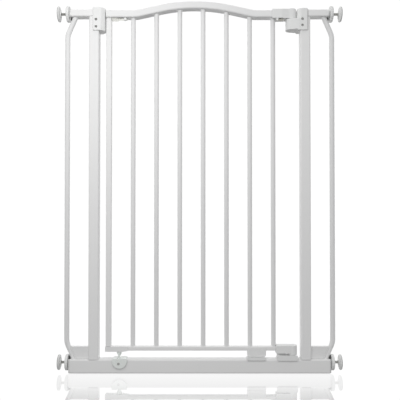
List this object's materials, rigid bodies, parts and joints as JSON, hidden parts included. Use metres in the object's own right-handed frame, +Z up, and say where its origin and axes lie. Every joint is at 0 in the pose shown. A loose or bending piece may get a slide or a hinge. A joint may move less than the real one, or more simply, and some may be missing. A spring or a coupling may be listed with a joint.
{
  "type": "safety baby gate",
  "caption": "Tall pressure-fit safety gate: tubular U-frame with screw spindles, arched barred door on offset pivots, sliding bolt latch and lift-off lower catch.",
  "frame": {"origin": "on the floor under the middle of the gate, in the plane of the bars", "axes": "+Z up, +X along the gate towards the hinge side, -Y the front"},
  "size_m": [0.798, 0.045, 1.04],
  "materials": {
    "white_powder_coat": "satin white powder coat over welded steel tube",
    "white_plastic": "fine-textured injection-moulded white plastic",
    "clear_white_plastic": "smooth slightly translucent white nylon",
    "zinc_screw": "dull zinc-plated screw heads in recesses",
    "zinc_steel": "zinc-plated steel",
    "threaded_steel": "dark zinc-plated trapezoidal thread",
    "spring_steel": "oiled spring wire",
    "pad_rubber": "grey soft rubber"
  },
  "bodies": {
    "frame": {"base_bar": "white_powder_coat", "left_post": "white_powder_coat", "right_post": "white_powder_coat", "left_stub_rail": "white_powder_coat", "right_stub_rail": "white_powder_coat", "left_gusset": "white_powder_coat", "right_gusset": "white_powder_coat", "left_side_rod": "white_powder_coat", "right_side_rod": "white_powder_coat", "tube_end_plugs": "white_plastic", "latch_housing_front": "white_plastic", "latch_housing_back": "white_plastic", "latch_housing_screws": "zinc_screw", "hinge_housing_front": "white_plastic", "hinge_housing_back": "white_plastic", "hinge_housing_screws": "zinc_screw", "lower_hinge_seat": "white_plastic", "stop_plate": "white_plastic", "lower_catch": "clear_white_plastic", "lower_catch_screw": "zinc_screw"},
    "pivot_pins": {"upper_pivot_pin": "zinc_steel", "lower_pivot_pin": "zinc_steel"},
    "door": {"door_top_rail": "white_powder_coat", "door_bottom_rail": "white_powder_coat", "latch_stile": "white_powder_coat", "bar_1": "white_powder_coat", "bar_2": "white_powder_coat", "bar_3": "white_powder_coat", "bar_4": "white_powder_coat", "bar_5": "white_powder_coat", "bar_6": "white_powder_coat", "bar_7": "white_powder_coat", "rail_end_cap": "white_plastic", "upper_hinge_arm": "white_plastic", "upper_hinge_cap": "white_plastic", "lower_hinge_arm": "white_plastic", "latch_corner_bracket": "white_powder_coat", "locating_cone": "clear_white_plastic", "stop_block": "white_plastic", "closing_spring": "spring_steel", "bolt_guide": "white_powder_coat"},
    "latch_bolt": {"bolt_strip": "zinc_steel", "bolt_knob": "white_plastic"},
    "nut_upper_left": {"wheel_nut_upper_left": "white_plastic"},
    "spindle_upper_left": {"spindle_upper_left": "threaded_steel", "pad_cup_upper_left": "white_plastic", "wall_pad_upper_left": "pad_rubber"},
    "nut_upper_right": {"wheel_nut_upper_right": "white_plastic"},
    "spindle_upper_right": {"spindle_upper_right": "threaded_steel", "pad_cup_upper_right": "white_plastic", "wall_pad_upper_right": "pad_rubber"},
    "nut_lower_left": {"wheel_nut_lower_left": "white_plastic"},
    "spindle_lower_left": {"spindle_lower_left": "threaded_steel", "pad_cup_lower_left": "white_plastic", "wall_pad_lower_left": "pad_rubber"},
    "nut_lower_right": {"wheel_nut_lower_right": "white_plastic"},
    "spindle_lower_right": {"spindle_lower_right": "threaded_steel", "pad_cup_lower_right": "white_plastic", "wall_pad_lower_right": "pad_rubber"}
  },
  "joints": [
    {"name": "door_swing", "type": "hinge", "parent": "frame", "child": "pivot_pins", "pos_m": [0.2585, 0, 0], "axis": [0, 0, 1], "range_deg": [-90, 90], "stiffness_Nm_per_rad": 0.6},
    {"name": "door_lift", "type": "slide", "parent": "pivot_pins", "child": "door", "axis": [0, 0, 1], "range_m": [0, 0.012]},
    {"name": "bolt_slide", "type": "slide", "parent": "door", "child": "latch_bolt", "axis": [-1, 0, 0], "range_m": [0, 0.012]},
    {"name": "spindle_slide_upper_left", "type": "slide", "parent": "frame", "child": "spindle_upper_left", "axis": [-1, 0, 0], "range_m": [-0.012, 0.02]},
    {"name": "nut_spin_upper_left", "type": "hinge", "parent": "frame", "child": "nut_upper_left", "pos_m": [-0.3715, 0, 1.007], "axis": [-1, 0, 0], "range_deg": [-3605, 2165]},
    {"name": "spindle_slide_upper_right", "type": "slide", "parent": "frame", "child": "spindle_upper_right", "axis": [1, 0, 0], "range_m": [-0.012, 0.02]},
    {"name": "nut_spin_upper_right", "type": "hinge", "parent": "frame", "child": "nut_upper_right", "pos_m": [0.3715, 0, 1.007], "axis": [1, 0, 0], "range_deg": [-3605, 2165]},
    {"name": "spindle_slide_lower_left", "type": "slide", "parent": "frame", "child": "spindle_lower_left", "axis": [-1, 0, 0], "range_m": [-0.008, 0.02]},
    {"name": "nut_spin_lower_left", "type": "hinge", "parent": "frame", "child": "nut_lower_left", "pos_m": [-0.3715, 0, 0.0285], "axis": [-1, 0, 0], "range_deg": [-3605, 1445]},
    {"name": "spindle_slide_lower_right", "type": "slide", "parent": "frame", "child": "spindle_lower_right", "axis": [1, 0, 0], "range_m": [-0.008, 0.02]},
    {"name": "nut_spin_lower_right", "type": "hinge", "parent": "frame", "child": "nut_lower_right", "pos_m": [0.3715, 0, 0.0285], "axis": [1, 0, 0], "range_deg": [-3605, 1445]}
  ],
  "couplings": [
    {"joint": "nut_spin_upper_left", "follows": "spindle_slide_upper_left", "rad_per_m": -3141.6},
    {"joint": "nut_spin_upper_right", "follows": "spindle_slide_upper_right", "rad_per_m": -3141.6},
    {"joint": "nut_spin_lower_left", "follows": "spindle_slide_lower_left", "rad_per_m": -3141.6},
    {"joint": "nut_spin_lower_right", "follows": "spindle_slide_lower_right", "rad_per_m": -3141.6}
  ]
}
